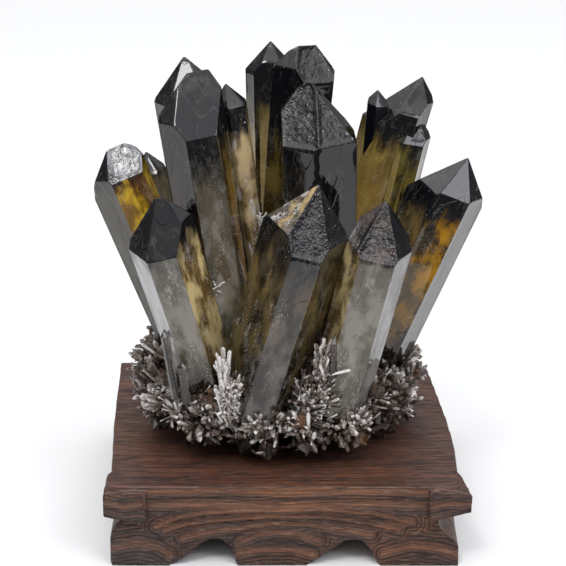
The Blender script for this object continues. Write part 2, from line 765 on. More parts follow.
def soft_noise(spots: np.ndarray, seed: int) -> np.ndarray:
    """Works out smooth noise with about one swell to a unit.

    Args:
        spots: rows of three coordinates.
        seed: which of many noises it is.

    Returns:
        A number from 0 to 1 for each row.
    """
    low = np.floor(spots).astype(np.int64)
    part = eased(spots - low)
    total = np.zeros(len(spots))
    for corner in itertools.product((0, 1), repeat=3):
        share = np.prod(np.where(np.array(corner) == 1, part, 1.0 - part), axis=1)
        total += share * lattice(low + np.array(corner), seed)
    return total


def worley(spots: np.ndarray, seed: int) -> np.ndarray:
    """Works out how far spots are from randomly placed points, one to a unit.

    Args:
        spots: rows of three coordinates.
        seed: which of many sets of points it is.

    Returns:
        The distance to the nearest point for each row.
    """
    low = np.floor(spots).astype(np.int64)
    best = np.full(len(spots), FAR)
    for corner in itertools.product((-1, 0, 1), repeat=3):
        cell = low + np.array(corner)
        point = cell + np.stack([lattice(cell, seed + turn) for turn in range(3)], axis=1)
        best = np.minimum(best, ((spots - point) ** 2).sum(axis=1))
    return np.sqrt(best)


# How far off a plane, in millimetres, and how bent, in radians, still counts as flat.
ON_PLANE = 0.004
FLAT_ANGLE = 0.002


@dataclass(frozen=True)
class Wear:
    """Depths of the marks on crystal faces, in millimetres: etched faces, prism walls and plain points."""

    etched: float = 0.12
    pits: float = 0.30
    hollows: float = 0.6
    wall: float = 0.12
    bands: float = 0.08
    swells: float = 0.20
    point: float = 0.04
    point_swells: float = 0.08


@dataclass
class CrystalGroup:
    """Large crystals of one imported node, grown through one another in one closed mesh.

    bevel is the edges' width, wall_step and etched_step the longest edges of the mesh on plain and
    etched faces, and rim how far from an edge the marks of a face fade out, all in millimetres.
    foot_from and foot_fade are the shares of a crystal's length where its foot turns dark and over
    which it does so, and apart keeps the patterns of one crystal off the next one's, in metres.
    outside is how much being outside a crystal counts when a spot's owner is looked for.
    """

    node: str
    crystals: tuple[Crystal, ...]
    bevel: float = 0.22
    bevel_from: float = math.radians(12.0)
    wall_step: float = 2.6
    etched_step: float = 0.85
    etched_from: float = 0.05
    rounds: int = 9
    rim: float = 1.6
    foot_from: float = 0.74
    foot_fade: float = 0.14
    apart: float = 0.2
    outside: float = 4.0
    wear: Wear = Wear()
    sharp: float = math.radians(14.0)
    planes: list = field(default_factory=list)

    def build(self, material: bpy.types.Material) -> bpy.types.Object:
        """Builds the dressed crystal group.

        Args:
            material: the quartz finish.

        Returns:
            The piece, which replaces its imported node.
        """
        self.planes = [crystal.planes() for crystal in self.crystals]
        piece = new_piece(self.node + "_quartz", self._hull(self.crystals[0]))
        for crystal in self.crystals[1:]:
            other = new_piece("other", self._hull(crystal))
            self._join(piece, other)
        self._soften(piece)
        self._divide(piece)
        self._shape(piece)
        dress(piece, material)
        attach(piece, "root")
        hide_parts(self.node)
        self.node + "_quartz"
        return piece

    @staticmethod
    def _hull(crystal: Crystal) -> bmesh.types.BMesh:
        """Makes the solid between a crystal's face planes.

        Args:
            crystal: the crystal.

        Returns:
            The solid, in millimetres.
        """
        planes = crystal.planes()
        corners = []
        for three in itertools.combinations(planes, 3):
            corner = meeting_point(three)
            if corner is None:
                continue
            inside = all((corner - point).dot(normal) < ON_PLANE for point, normal, _ in planes)
            if inside and all((corner - known).length > 2.0 * ON_PLANE for known in corners):
                corners.append(corner)
        bm = bmesh.new()
        for corner in corners:
            bm.verts.new(corner)
        hull = bmesh.ops.convex_hull(bm, input=bm.verts[:])
        unused = [item for item in hull["geom_interior"] if isinstance(item, bmesh.types.BMVert)]
        bmesh.ops.delete(bm, geom=unused, context="VERTS")
        bmesh.ops.dissolve_limit(bm, angle_limit=FLAT_ANGLE, verts=bm.verts[:], edges=bm.edges[:])
        return bm

    @staticmethod
    def _join(piece: bpy.types.Object, other: bpy.types.Object) -> None:
        """Unites another solid with the piece and removes it.

        Args:
            piece: the object that stays.
            other: the solid that grows through it.
        """
        modifier = piece.modifiers.new("join", "BOOLEAN")
        modifier.operation = "UNION"
        modifier.solver = "EXACT"
        modifier.object = other
        plain_mesh(piece)
        bpy.data.objects.remove(other)

    def _soften(self, piece: bpy.types.Object) -> None:
        """Rounds the sharp edges by a hair, as natural crystal edges are.

        Args:
            piece: the crystal group.
        """
        modifier = piece.modifiers.new("soften", "BEVEL")
        modifier.width = self.bevel
        modifier.segments = 2
        modifier.limit_method = "ANGLE"
        modifier.angle_limit = self.bevel_from
        plain_mesh(piece)

    def _divide(self, piece: bpy.types.Object) -> None:
        """Splits long edges until the mesh is fine enough to be shaped, finer on etched faces.

        Args:
            piece: the crystal group.
        """
        bm = bmesh.new()
        bm.from_mesh(piece.data)
        bmesh.ops.triangulate(bm, faces=bm.faces[:])
        for _ in range(self.rounds):
            edges = bm.edges[:]
            middles = np.array([(edge.verts[0].co + edge.verts[1].co) / 2.0 for edge in edges])
            lengths = np.array([edge.calc_length() for edge in edges])
            steps = np.where(self._looks(middles)[:, 0] > self.etched_from, self.etched_step, self.wall_step)
            long_edges = [edges[index] for index in np.flatnonzero(lengths > steps)]
            if not long_edges:
                break
            bmesh.ops.subdivide_edges(bm, edges=long_edges, cuts=1)
            bmesh.ops.triangulate(bm, faces=[face for face in bm.faces if len(face.verts) > 3])
        bm.to_mesh(piece.data)
        bm.free()

    def _nearest(self, spots: np.ndarray) -> tuple[np.ndarray, np.ndarray, np.ndarray]:
        """Finds the crystal face that each spot lies on.

        Args:
            spots: places on the surface, in millimetres.

        Returns:
            Crystal numbers, plane numbers, and how far each spot is inside the next nearest plane.
        """
        count = len(spots)
        best = np.full(count, FAR)
        owner = np.zeros(count, dtype=int)
        plane = np.zeros(count, dtype=int)
        inner = np.zeros(count)
        for index, planes in enumerate(self.planes):
            points = np.array([list(point) for point, _, _ in planes])
            normals = np.array([list(normal) for _, normal, _ in planes])
            away = ((spots[:, None, :] - points[None, :, :]) * normals[None, :, :]).sum(axis=2)
            nearest = np.abs(away).argmin(axis=1)
            score = np.abs(away[np.arange(count), nearest]) + np.maximum(away.max(axis=1), 0.0) * self.outside
            mine = score < best
            owner[mine] = index
            plane[mine] = nearest[mine]
            inner[mine] = np.sort(-away, axis=1)[mine, 1]
            best = np.where(mine, score, best)
        return owner, plane, inner

    def _looks(self, spots: np.ndarray) -> np.ndarray:
        """Looks up the looks of the faces that spots lie on.

        Args:
            spots: places on the surface, in millimetres.

        Returns:
            A row for each spot: etch, clear and fleck, then the upper, lower and deep colours.
        """
        table = []
        for planes in self.planes:
            for _, _, look in planes:
                table.append((look.etch, look.clear, look.fleck, *look.upper, *look.lower, *look.deep))
        owner, plane, _ = self._nearest(spots)
        return np.array(table)[owner * (2 * SIDES + 1) + plane]

    def _shape(self, piece: bpy.types.Object) -> None:
        """Pits and swells the faces, stores the looks and zones and moves the mesh to its place.

        Args:
            piece: the crystal group, whose mesh is in millimetres.
        """
        mesh = piece.data
        looks = self._looks(rows_of(mesh.polygons, "center"))
        for index, name in enumerate(("habit", "upper", "lower", "deep")):
            store(mesh, name, looks[:, index * 3:index * 3 + 3], "FACE", "FLOAT_COLOR")
        spots = rows_of(mesh.vertices, "co")
        owner, plane, inner = self._nearest(spots)
        etch = self._looks(spots)[:, 0]
        rim = eased(np.clip(inner / self.rim, 0.0, 1.0))
        zone = np.zeros_like(spots)
        own = np.zeros_like(spots)
        for index, crystal in enumerate(self.crystals):
            mine = owner == index
            axis, front, side = (np.array(way) for way in crystal.axes())
            frame_of = np.stack([side, front, axis], axis=1)
            own[mine] = (spots[mine] - np.array(crystal.root)) @ frame_of * MM + index * self.apart
            length = (Vector(crystal.tip) - Vector(crystal.root)).length
            below = (np.array(crystal.tip) - spots[mine]) @ axis
            share = below / length
            zone[mine, 0] = np.clip(1.1 - 0.6 * share / crystal.night, 0.0, 1.0)
            zone[mine, 1] = np.clip((share - crystal.night) / (0.95 - crystal.night), 0.0, 1.0)
            zone[mine, 2] = np.clip((share - self.foot_from) / self.foot_fade, 0.0, 1.0) * crystal.foot
            normals = np.array([list(normal) for _, normal, _ in self.planes[index]])[plane[mine]]
            depth = self._depth(spots[mine], plane[mine], etch[mine], below)
            spots[mine] -= normals * (depth * rim[mine])[:, None]
        low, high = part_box(self.node)
        move_to(mesh, np.clip(packed(spots), np.array(low), np.array(high)))
        store(mesh, "zone", zone, "POINT", "FLOAT_COLOR")
        store(mesh, "own", own, "POINT", "FLOAT_VECTOR")
        smooth(mesh)
        mesh.set_sharp_from_angle(angle=self.sharp)
        mesh.update()

    def _depth(self, spots: np.ndarray, plane: np.ndarray, etch: np.ndarray, below: np.ndarray) -> np.ndarray:
        """Works out how far each vertex sinks into its face.

        Args:
            spots: the vertices, in millimetres.
            plane: the number of the plane that each one lies on.
            etch: how etched its face is.
            below: how far each one is below the tip, in millimetres.

        Returns:
            The depths, in millimetres.
        """
        wear = self.wear
        seeds = plane[:, None] * np.array([[7.3, 3.1, 1.7]])
        cells = worley(spots * 0.60 + seeds, 3)
        rough = soft_noise(spots * 0.30 + seeds, 1) * 0.6 + soft_noise(spots * 1.3 + seeds, 2) * 0.4
        etched = (wear.etched + cells * wear.pits + rough * wear.hollows) * etch
        lines = np.stack([below * 0.30, plane * 5.0, plane * 0.0], axis=1)
        band = soft_noise(lines, 5) - 0.5
        swell = soft_noise(spots * 0.05 + seeds, 7) - 0.5
        wall = wear.wall + band * wear.bands + swell * wear.swells
        plain = wear.point + (soft_noise(spots * 0.12 + seeds, 9) - 0.5) * wear.point_swells
        is_point = (plane % 2 == 0) & (plane > 0)
        depth = np.where(etch > self.etched_from, etched, np.where(is_point, plain, wall))
        return np.maximum(depth, 0.0)


@dataclass
class Druse:
    """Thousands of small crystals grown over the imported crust.

    density is their number on a square metre, and shortest and longest their lengths in
    millimetres. thinnest and thickest stretch their widths. girth, stem, cap and foot are the
    radius and the heights of a crystal one unit long. leaning is how far they stray from upright.
    core_centre and core_reach are the crust's core, in millimetres: beyond thin_from of its reach
    the crystals thin out to least_cover. None grow below lowest, on faces turned down more than
    downward, or closer than beside to a large crystal. weld joins the crust's loose corners.
    """

    density: float = 620000.0
    shortest: float = 1.8
    longest: float = 5.8
    thinnest: float = 0.45
    thickest: float = 1.35
    seed: int = 5
    girth: float = 0.15
    stem: float = 0.9
    cap: float = 0.24
    foot: float = 0.1
    leaning: tuple[Triple, Triple] = ((-0.75, -0.75, -0.35), (0.75, 0.75, 0.85))
    core_centre: Triple = (-3.0, 1.0, 46.0)
    core_reach: Triple = (45.0, 37.0, 17.0)
    thin_from: float = 0.86
    least_cover: float = 0.16
    lowest: float = 33.0
    downward: float = -0.65
    beside: float = 0.6
    weld: float = 0.002

    def bed(self) -> bpy.types.Object:
        """Returns: the part of the crust's surface that isn't in a crystal's socket or underneath."""
        bm = bmesh.new()
        bm.from_mesh(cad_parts["quartz_crust"].data)
        bmesh.ops.remove_doubles(bm, verts=bm.verts[:], dist=self.weld * MM)
        bm.normal_update()
        planes = [crystal.planes() for group in CRYSTALS.values() for crystal in group]
        hidden = []
        for face in bm.faces:
            middle = (face.calc_center_median() - SHIFT) / MM
            under = middle.z < self.lowest or face.normal.z < self.downward
            if under or any(self._inside(middle, every) for every in planes):
                hidden.append(face)
        bmesh.ops.delete(bm, geom=hidden, context="FACES")
        piece = new_piece("crust_druse", bm)
        middles = measured(rows_of(piece.data.polygons, "center"))
        share = (middles - np.array(self.core_centre)) / np.array(self.core_reach)
        out = np.linalg.norm(share, axis=1)
        cover = np.clip(1.6 - (out - self.thin_from) * 7.0, self.least_cover, 1.0)
        store(piece.data, "cover", cover, "FACE")
        return piece

    def _inside(self, middle: Vector, planes: Sequence[tuple]) -> bool:
        """Returns: whether a point is in a crystal or just beside it."""
        return all((middle - point).dot(normal) < self.beside for point, normal, _ in planes)

    def tree(self, material: bpy.types.Material) -> bpy.types.GeometryNodeTree:
        """Builds the node tree that grows the small crystals.

        Args:
            material: their finish.

        Returns:
            The tree, with named inputs for the sizes.
        """
        tree = bpy.data.node_groups.new("druse_growth", "GeometryNodeTree")
        panel = tree.interface
        panel.new_socket("Geometry", in_out="INPUT", socket_type="NodeSocketGeometry")
        for name in ("Density", "Shortest", "Longest"):
            panel.new_socket(name, in_out="INPUT", socket_type="NodeSocketFloat")
        panel.new_socket("Seed", in_out="INPUT", socket_type="NodeSocketInt")
        panel.new_socket("Geometry", in_out="OUTPUT", socket_type="NodeSocketGeometry")

        def add(kind: str, links: dict | None = None, **settings: Any) -> Any:
            """Adds a node with its settings and inputs.

            Args:
                kind: the node's type.
                links: what its inputs hold: numbers or other nodes' outputs.
                settings: its properties.

            Returns:
                The node.
            """
            made = tree.nodes.new(kind)
            for key, value in settings.items():
                setattr(made, key, value)
            for key, value in (links or {}).items():
                if isinstance(value, bpy.types.NodeSocket):
                    tree.links.new(value, made.inputs[key])
                else:
                    made.inputs[key].default_value = value
            return made

        into = add("NodeGroupInput").outputs
        cover = add("GeometryNodeInputNamedAttribute", {"Name": "cover"}, data_type="FLOAT")
        share = cover.outputs["Attribute"]
        crowd = add("ShaderNodeMath", {0: into["Density"], 1: share}, operation="MULTIPLY")
        spread = add(
            "GeometryNodeDistributePointsOnFaces",
            {"Mesh": into["Geometry"], "Density": crowd.outputs[0], "Seed": into["Seed"]},
        )
        tube = {"Vertices": SIDES, "Side Segments": 1}
        cone = {**tube, "Radius Top": 0.0, "Radius Bottom": self.girth}
        body = {**tube, "Radius": self.girth, "Depth": self.stem}
        stem = add("GeometryNodeMeshCylinder", body, fill_type="NONE")
        cap = add("GeometryNodeMeshCone", {**cone, "Depth": self.cap}, fill_type="NONE").outputs["Mesh"]
        foot = add("GeometryNodeMeshCone", {**cone, "Depth": self.foot}, fill_type="NONE").outputs["Mesh"]
        half = self.stem / 2.0
        up = add("GeometryNodeTransform", {"Geometry": cap, "Translation": (0.0, 0.0, half)})
        turned = {"Translation": (0.0, 0.0, -half), "Rotation": (math.pi, 0.0, 0.0)}
        down = add("GeometryNodeTransform", {"Geometry": foot, **turned})
        whole = add("GeometryNodeJoinGeometry")
        for part in (down.outputs[0], up.outputs[0], stem.outputs["Mesh"]):
            tree.links.new(part, whole.inputs[0])
        welded = add("GeometryNodeMergeByDistance", {"Geometry": whole.outputs[0], "Distance": 0.002})
        spot = add("GeometryNodeInputPosition")
        parts = add("ShaderNodeSeparateXYZ", {0: spot.outputs[0]})
        rise = add("ShaderNodeMath", {0: parts.outputs["Z"], 1: 0.5}, operation="ADD")
        marked = add(
            "GeometryNodeStoreNamedAttribute",
            {"Geometry": welded.outputs[0], "Name": "along", "Value": rise.outputs[0]},
            data_type="FLOAT", domain="POINT",
        )
        least, most = self.leaning
        strays = {"Min": least, "Max": most, "Seed": 3}
        lean = add("FunctionNodeRandomValue", strays, data_type="FLOAT_VECTOR")
        way = add("ShaderNodeVectorMath", {0: spread.outputs["Normal"], 1: lean.outputs[0]}, operation="ADD")
        turn = add("FunctionNodeAlignRotationToVector", {"Vector": way.outputs[0]}, axis="Z")
        reach = {2: into["Shortest"], 3: into["Longest"], "Seed": 8}
        length = add("FunctionNodeRandomValue", reach, data_type="FLOAT")
        girths = {2: self.thinnest, 3: self.thickest, "Seed": 9}
        thick = add("FunctionNodeRandomValue", girths, data_type="FLOAT")
        wide = add("ShaderNodeMath", {0: length.outputs[1], 1: thick.outputs[1]}, operation="MULTIPLY")
        size = add("ShaderNodeCombineXYZ", {0: wide.outputs[0], 1: wide.outputs[0], 2: length.outputs[1]})
        put = add(
            "GeometryNodeInstanceOnPoints",
            {"Points": spread.outputs["Points"], "Instance": marked.outputs[0], "Rotation": turn.outputs[0],
             "Scale": size.outputs[0]},
        )
        tone = add("FunctionNodeRandomValue", {2: 0.0, 3: 1.0, "Seed": 21}, data_type="FLOAT")
        kept = add(
            "GeometryNodeStoreNamedAttribute",
            {"Geometry": put.outputs[0], "Name": "tone", "Value": tone.outputs[1]},
            data_type="FLOAT", domain="INSTANCE",
        )
        real = add("GeometryNodeRealizeInstances", {"Geometry": kept.outputs[0]})
        painted = add("GeometryNodeSetMaterial", {"Geometry": real.outputs[0], "Material": material})
        ending = add("NodeGroupOutput")
        tree.links.new(painted.outputs[0], ending.inputs[0])
        return tree

    def build(self, material: bpy.types.Material) -> bpy.types.Object:
        """Grows the small crystals.

        Args:
            material: their finish.

        Returns:
            The piece.
        """
        piece = self.bed()
        tree = self.tree(material)
        modifier = piece.modifiers.new("growth", "NODES")
        modifier.node_group = tree
        sizes = {
            "Density": self.density,
            "Shortest": self.shortest * MM,
            "Longest": self.longest * MM,
            "Seed": self.seed,
        }
        for item in tree.interface.items_tree:
            if item.in_out == "INPUT" and item.name in sizes:
                modifier[item.identifier] = sizes[item.name]
        plain_mesh(piece)
        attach(piece, "root")
        return piece


@dataclass(frozen=True)
class Spray:
    """A bunch of slender crystals, sizes in millimetres.

    root is the middle of its feet and room how far they spread each way. aim is where the crystals
    point, and fan how far they stray from it. reach and width are the least and most of their
    lengths and thicknesses, and tone the least and most of how pale they are. Where loose is
    false, each foot is moved to the nearest place on the crust.
    """

    root: Triple
    room: Triple
    aim: Triple
    count: int
    reach: tuple[float, float]
    width: tuple[float, float]
    tone: tuple[float, float] = (0.1, 0.9)
    fan: float = 0.45
    loose: bool = False


SPRAYS: tuple[Spray, ...] = (
    # Bushes at the left and the right.
    Spray((-46, -10, 53), (3.5, 10, 8), (-0.55, -0.15, 0.8), 52, (6, 12), (1.2, 2.4), (0.1, 1.1)),
    Spray((-43, -18, 44), (4, 8, 4), (-0.75, -0.45, 0.3), 48, (5, 10), (1.3, 3), (0.1, 1)),
    Spray((-45, 10, 50), (4, 10, 7), (-0.7, 0.1, 0.65), 44, (5, 11), (1.3, 2.6)),
    Spray((37, -14, 50), (4.5, 10, 7), (0.55, -0.3, 0.8), 56, (6, 11), (1.2, 2.8), (0.1, 1)),
    Spray((37, -24, 47), (3.5, 5, 5), (0.6, -0.45, 0.7), 14, (8, 11), (3.2, 4.8), (0.1, 0.5)),
    Spray((40, 8, 48), (4, 12, 6), (0.75, 0.05, 0.6), 44, (5, 10), (1.3, 2.6)),
    # The rim in front, coarse and then fine.
    Spray((-22, -35, 43), (14, 4, 4), (-0.15, -0.8, 0.25), 80, (5, 9), (1.5, 3.2), (0.1, 0.9)),
    Spray((10, -36, 43), (18, 4, 4), (0.1, -0.85, 0.25), 100, (5, 9), (1.5, 3.2), (0.1, 0.9)),
    Spray((0, -39, 46), (26, 4, 4.5), (0, -0.6, 0.6), 120, (3, 6), (0.5, 1.2), (0.5, 1.35), 0.8),
    Spray((-36, -28, 46), (9, 7, 4.5), (-0.4, -0.5, 0.55), 70, (3, 6), (0.5, 1.2), (0.4, 1.25), 0.8),
    Spray((36, -24, 47), (8, 7, 4.5), (0.45, -0.5, 0.55), 70, (3, 6), (0.5, 1.2), (0.4, 1.25), 0.8),
    # A second row over the rim.
    Spray((-9, -45, 49), (8, 2, 2.5), (0, -0.45, 0.85), 44, (4, 8), (1.1, 2.4), (0.2, 1)),
    Spray((24, -38, 47), (9, 2.5, 2.5), (0.1, -0.45, 0.8), 50, (4, 8), (1.1, 2.4), (0.2, 1)),
    Spray((-30, -34, 49), (8, 3, 3), (-0.15, -0.45, 0.8), 44, (4, 8), (1.1, 2.4), (0.1, 0.9)),
    # The white peak between the left crystals in front.
    Spray((-18.5, -40.5, 53), (3.6, 1.8, 7), (-0.1, -0.18, 1), 80, (5, 10), (0.7, 1.6),
          (0.6, 1.2), 0.28, True),
    Spray((-18.8, -42, 56), (3.2, 1.2, 7), (-0.1, -0.5, 0.6), 110, (2, 4.2), (0.6, 1.3),
          (0.3, 1.3), 0.8, True),
    Spray((-20.6, -41.5, 62), (1.8, 1.2, 5), (-0.1, -0.1, 1), 40, (6, 11.5), (0.7, 1.6),
          (0.8, 1.3), 0.18, True),
    # The pale peak between the right crystals in front.
    Spray((9, -37, 53), (6.5, 2, 6), (0.15, -0.25, 1), 170, (4, 8.5), (0.6, 1.5), (0.2, 1.05), 0.4, True),
    Spray((10, -38.4, 57), (6, 1.4, 7), (0.1, -0.5, 0.6), 170, (2, 4.2), (0.5, 1.3), (0.2, 1.1), 0.8, True),
    Spray((12.6, -38, 66), (2.4, 1.4, 6), (0.1, -0.15, 1), 70, (4, 9), (0.6, 1.5), (0.4, 1.15), 0.25, True),
    # The back of the crust.
    Spray((-20, 26, 48), (18, 5, 6), (-0.1, 0.75, 0.55), 80, (5, 10), (1.3, 2.8)),
    Spray((14, 28, 48), (18, 5, 6), (0.15, 0.75, 0.55), 80, (5, 10), (1.3, 2.8)),
    # Brown stubs.
    Spray((-38, -38.5, 55), (0.4, 0.3, 0.5), (-0.14, 0.02, 1), 1, (26, 26.1), (4.6, 4.7), (0, 0.02), 0, True),
    Spray((-34.6, -40.5, 54), (0.6, 0.4, 1), (-0.08, 0.05, 1), 2, (15, 17), (3.2, 3.8), (0, 0.2), 0.1, True),
    Spray((16.6, -38.6, 64), (0.3, 0.2, 0.3), (0.04, 0, 1), 1, (15.5, 15.6), (4.8, 4.9),
          (0.1, 0.12), 0, True),
    # White needles.
    Spray((15.4, -40, 64.8), (0.3, 0.3, 0.9), (0.95, -0.05, 0.3), 3, (7, 8.6), (0.8, 1),
          (1.4, 1.5), 0.05, True),
    Spray((-8.9, -6.2, 108), (0.5, 0.4, 4), (0.2, -0.4, 0.9), 26, (2.2, 5.2), (0.6, 1.1),
          (1, 1.4), 0.4, True),
    Spray((-23.5, -24.2, 92), (1.6, 0.3, 2.2), (0.25, -0.35, 0.1), 9, (2, 4.6), (0.5, 0.9),
          (1.1, 1.5), 0.8, True),
)


@dataclass
class LongCrystals:
    """The crust's longer crystals: its bushes, rim and pale peaks, with a few needles higher up.

    flat is a crystal's thickness over its width, ankle its width at the foot over its full width,
    and sunk and point how far its foot goes down and its point is long, both over its width.
    """

    sprays: tuple[Spray, ...] = SPRAYS
    flat: float = 0.62
    ankle: float = 0.86
    sunk: float = 0.2
    point: float = 0.55
    seed: int = 17

    def build(self, material: bpy.types.Material) -> bpy.types.Object:
        """Grows the sprays.

        Args:
            material: the finish of the small crystals.

        Returns:
            The piece.
        """
        draw = np.random.default_rng(self.seed)
        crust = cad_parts["quartz_crust"].data
        bed = BVHTree.FromPolygons(
            [(vertex.co - SHIFT) / MM for vertex in crust.vertices],
            [face.vertices[:] for face in crust.polygons],
        )
        bm = bmesh.new()
        tones = []
        for spray in self.sprays:
            for _ in range(spray.count):
                stray = np.clip(draw.normal(0.0, 0.5, 3), -1.0, 1.0)
                root = np.array(spray.root) + stray * np.array(spray.room)
                if not spray.loose:
                    root = bed.find_nearest(Vector(root))[0]
                aim = np.array(spray.aim) + draw.normal(0.0, 1.0, 3) * spray.fan
                sizes = draw.uniform(*spray.reach), draw.uniform(*spray.width), draw.uniform(0.0, math.tau)
                self._grow(bm, Vector(root), Vector(aim).normalized(), *sizes)
                tones.append(draw.uniform(*spray.tone))
        piece = new_piece("crust_sprays", bm)
        mesh = piece.data
        each = len(mesh.vertices) // len(tones)
        store(mesh, "tone", np.repeat(np.array(tones), each))
        # How far along a crystal its foot, its two rings and its tip count.
        along = np.array([0.0] + [0.1] * SIDES + [0.75] * SIDES + [1.0])
        store(mesh, "along", np.tile(along, len(tones)))
        move_to(mesh, packed(rows_of(mesh.vertices, "co")))
        dress(piece, material)
        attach(piece, "root")
        return piece

    def _grow(
        self, bm: bmesh.types.BMesh, root: Vector, aim: Vector, reach: float, width: float, spin: float
    ) -> None:
        """Adds one flattened six-sided crystal with a point at its end.

        Args:
            bm: the mesh that it joins.
            root: its foot.
            aim: where it points.
            reach: its length.
            width: its larger thickness.
            spin: how far it is turned round its length.
        """
        side = aim.orthogonal().normalized()
        side.rotate(Quaternion(aim, spin))
        across = aim.cross(side)
        foot = bm.verts.new(root - aim * width * self.sunk)
        rings = []
        for share, wide in ((0.0, self.ankle), (1.0 - self.point * width / reach, 1.0)):
            ring = []
            for index in range(SIDES):
                angle = math.tau * index / SIDES
                out = side * math.cos(angle) + across * math.sin(angle) * self.flat
                ring.append(bm.verts.new(root + aim * reach * share + out * width * 0.5 * wide))
            rings.append(ring)
        tip = bm.verts.new(root + aim * reach)
        low, high = rings
        for index in range(SIDES):
            after = (index + 1) % SIDES
            bm.faces.new((foot, low[after], low[index]))
            bm.faces.new((low[index], low[after], high[after], high[index]))
            bm.faces.new((high[index], high[after], tip))


@dataclass
class CarvedStand:
    """The wooden stand with its flowing front relief, sizes in millimetres.

    voxel is the mesh's step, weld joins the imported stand's loose corners, and relief stretches the
    heights of the ridges. Only the wood in front of front_edge and below top is carved, no deeper
    than deepest and no prouder than proudest. swells is the height of its broad swells, sunk how
    deep the ground between the ridges lies, edge the height over which the carving fades out
    under the top, and flow_reach how far from a ridge lines still follow it.
    """

    voxel: float = 0.80
    weld: float = 0.01
    relief: float = 1.5
    front_edge: float = -40.0
    top: float = 29.0
    deepest: float = 1.1
    proudest: float = 1.0
    swells: float = 1.1
    sunk: float = 0.75
    edge: float = 1.5
    flow_reach: float = 9.0
    # Ridges on the front: points as (x, z), width and height, all in millimetres.
    ridges: tuple = (
        (((-47, 27.2), (-20, 27.4), (0, 26.6), (22, 27.4), (49, 27)), 1.3, 0.5),
        (((-46, 22), (-30, 22.3), (0, 21.6), (25, 22.2), (48, 21.6)), 1.6, 0.5),
        (((-45, 13.6), (-37, 17.3), (-27, 19.4), (-8, 20.4), (12, 20.2), (31, 18.6),
          (44, 15)), 1.2, 0.8),
        (((-42, 12.2), (-34, 14.8), (-21, 16.6), (-4, 17.9), (12, 17.3), (28, 15),
          (40, 12.6)), 1.2, 0.8),
        (((-36, 9.5), (-26, 12.2), (-15, 13.6), (-4, 15), (8, 14.6), (18, 12.6), (30, 11)), 1.4, 0.7),
        (((-16, 8), (-9, 10.8), (-3, 11.6), (5, 10.9), (12, 8.5)), 1.6, 0.6),
        (((-60, 6), (-52, 7.6), (-45, 6.4), (-40, 3.6)), 1.3, 0.6),
        (((-17, 4), (-8, 5.2), (2, 5.2), (10, 3.4)), 1.3, 0.6),
        (((34, 4), (44, 6.6), (54, 5.6), (61, 3.6)), 1.3, 0.6),
        (((-62, 24), (-56, 22.4), (-50, 23.6)), 1.1, 0.5),
        (((50, 22), (57, 23.6), (64, 22.8)), 1.1, 0.5),
    )

    def build(self, material: bpy.types.Material) -> bpy.types.Object:
        """Builds the stand.

        Args:
            material: the wood finish.

        Returns:
            The piece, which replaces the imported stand.
        """
        bm = bmesh.new()
        bm.from_mesh(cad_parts["wooden_stand"].data)
        bmesh.ops.remove_doubles(bm, verts=bm.verts[:], dist=self.weld * MM)
        piece = new_piece("carved_stand", bm)
        modifier = piece.modifiers.new("even", "REMESH")
        modifier.mode = "VOXEL"
        modifier.voxel_size = self.voxel * MM
        worn = piece.modifiers.new("worn", "SMOOTH")
        worn.factor = 0.5
        worn.iterations = 2
        plain_mesh(piece)
        self._carve(piece.data)
        dress(piece, material)
        smooth(piece.data)
        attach(piece, "root")
        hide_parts("wooden_stand")
        return piece

    def _carve(self, mesh: bpy.types.Mesh) -> None:
        """Raises the ridges on the front and stores where the wood is carved.

        Args:
            mesh: the stand's mesh.
        """
        spots = measured(rows_of(mesh.vertices, "co"))
        normals = rows_of(mesh.vertices, "normal")
        count = len(spots)
        front = np.clip((-normals[:, 1] - 0.25) / 0.4, 0.0, 1.0) * (spots[:, 1] < self.front_edge)
        ridge = np.zeros(count)
        lift = np.zeros(count)
        flat = spots[:, [0, 2]]
        flow = np.full(count, self.flow_reach)
        for points, width, height in self.ridges:
            near = self._distance(flat, np.array(points))
            shape = np.exp(-((near / width) ** 2))
            lift += height * shape * self.relief
            ridge = np.maximum(ridge, shape)
            flow = np.minimum(flow, near)
        swell = soft_noise(spots * np.array([0.05, 0.2, 0.22]), 11) - 0.5
        lift += swell * self.swells - self.sunk
        low = np.clip((self.top - spots[:, 2]) / self.edge, 0.0, 1.0)
        spots[:, 1] -= np.clip(lift, -self.deepest, self.proudest) * front * low
        spots[:, 1] = np.maximum(spots[:, 1], STAND_LOW[1])
        store(mesh, "ridge", ridge * front)
        store(mesh, "flow", flow)
        side = np.clip((0.75 - normals[:, 2]) / 0.4, 0.0, 1.0)
        store(mesh, "carved", side)
        move_to(mesh, packed(spots))
        mesh.update()

    @staticmethod
    def _distance(flat: np.ndarray, points: np.ndarray) -> np.ndarray:
        """Measures how far spots on the front are from a bent line.

        Args:
            flat: rows of x and z.
            points: the line's points, as x and z.

        Returns:
            The distance for each row.
        """
        near = np.full(len(flat), FAR)
        for start, end in zip(points, points[1:]):
            way = end - start
            share = np.clip(((flat - start) @ way) / (way @ way), 0.0, 1.0)
            near = np.minimum(near, np.linalg.norm(flat - (start + share[:, None] * way), axis=1))
        return near


@dataclass(frozen=True)
class Lamp:
    """One soft square lamp: its place and size in millimetres, its power in watts and its colour."""

    name: str
    spot: Triple
    size: float
    power: float
    colour: Triple = (1.0, 1.0, 1.0)


